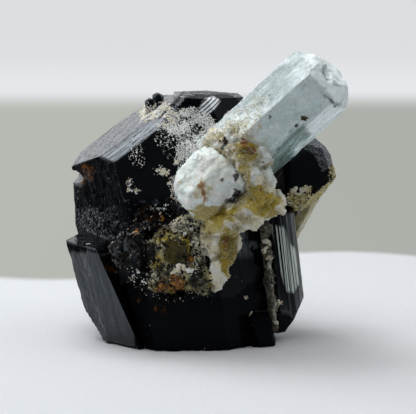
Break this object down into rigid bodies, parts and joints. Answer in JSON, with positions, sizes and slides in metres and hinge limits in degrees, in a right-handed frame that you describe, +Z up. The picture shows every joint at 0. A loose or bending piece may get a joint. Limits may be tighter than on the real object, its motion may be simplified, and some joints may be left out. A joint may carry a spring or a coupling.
{
  "type": "aquamarine specimen",
  "caption": "Clear blue beryl prism leaning out of a black tourmaline crystal, with milky beryl, a feldspar crust and a drusy hollow, standing on its flat broken base.",
  "frame": {"origin": "on the broken base that the specimen stands on, under the middle of the shown side", "axes": "+X to the right of the shown side, +Y towards the back, +Z up"},
  "size_m": [0.0273, 0.0234, 0.0288],
  "materials": {
    "schorl": "vitreous black tourmaline, striated along its length, dull where it is broken",
    "aquamarine": "clear pale blue-green beryl with veils and small cracks",
    "milky_beryl": "milky white beryl with worn faces and yellow-brown stains",
    "feldspar": "granular cream feldspar with ochre stains",
    "druse": "small olive-yellow, white and black crystals",
    "quartz": "cloudy yellowish quartz"
  },
  "bodies": {
    "root": {"schorl_block": "schorl", "schorl_column": "schorl", "schorl_stub": "schorl", "aquamarine_prism": "aquamarine", "beryl_lobe": "milky_beryl", "feldspar_crust": "feldspar", "druse": "druse", "seam_crust": "feldspar", "quartz_point": "quartz"}
  },
  "joints": []
}
